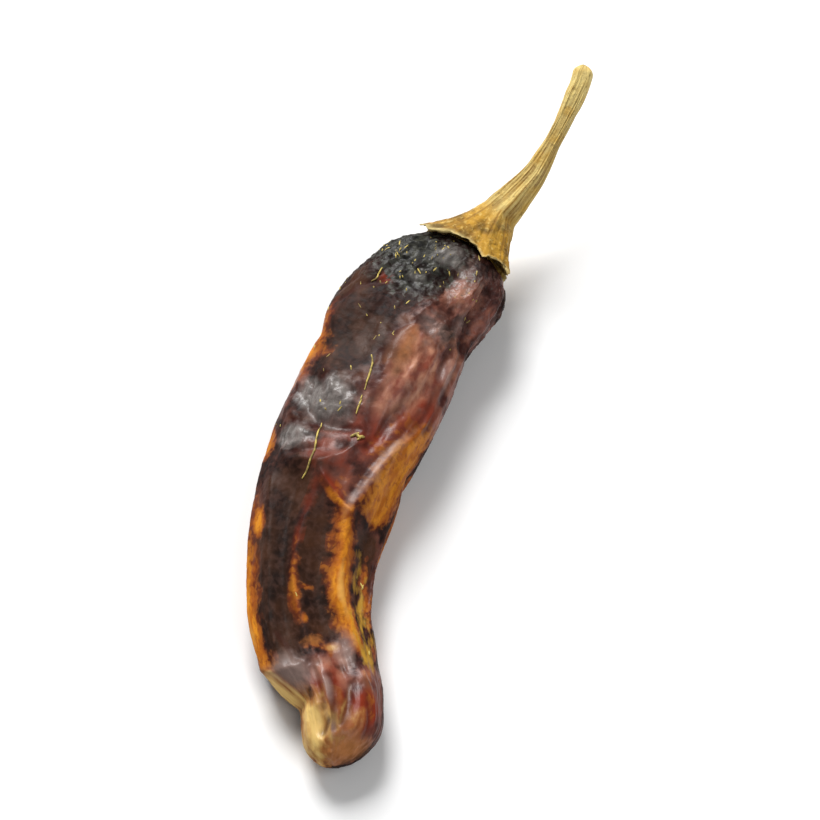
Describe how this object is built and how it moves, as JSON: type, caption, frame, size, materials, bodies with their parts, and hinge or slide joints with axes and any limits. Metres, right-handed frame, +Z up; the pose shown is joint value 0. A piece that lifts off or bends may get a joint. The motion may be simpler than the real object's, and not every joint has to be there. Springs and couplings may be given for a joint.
{
  "type": "dried chili pepper",
  "caption": "Dried chili pepper: a curved, folded leathery pod with a blunt tip, and a toothed straw-coloured calyx on a slim rising stem.",
  "frame": {"origin": "the middle of the whole pepper's footprint, on the surface it lies on", "axes": "+Y from the tip towards the calyx and stem, +X to the pepper's right seen from above with the stem away, +Z up from the surface it lies on"},
  "size_m": [0.0414, 0.131, 0.0227],
  "materials": {
    "pod": "waxy dried skin, dark maroon with amber and near-black patches, soft grey sheen on the folds",
    "stem_calyx": "dry straw-coloured fibres, matte, with brown specks"
  },
  "bodies": {
    "root": {"pod": "pod", "stem_calyx": "stem_calyx"}
  },
  "joints": []
}
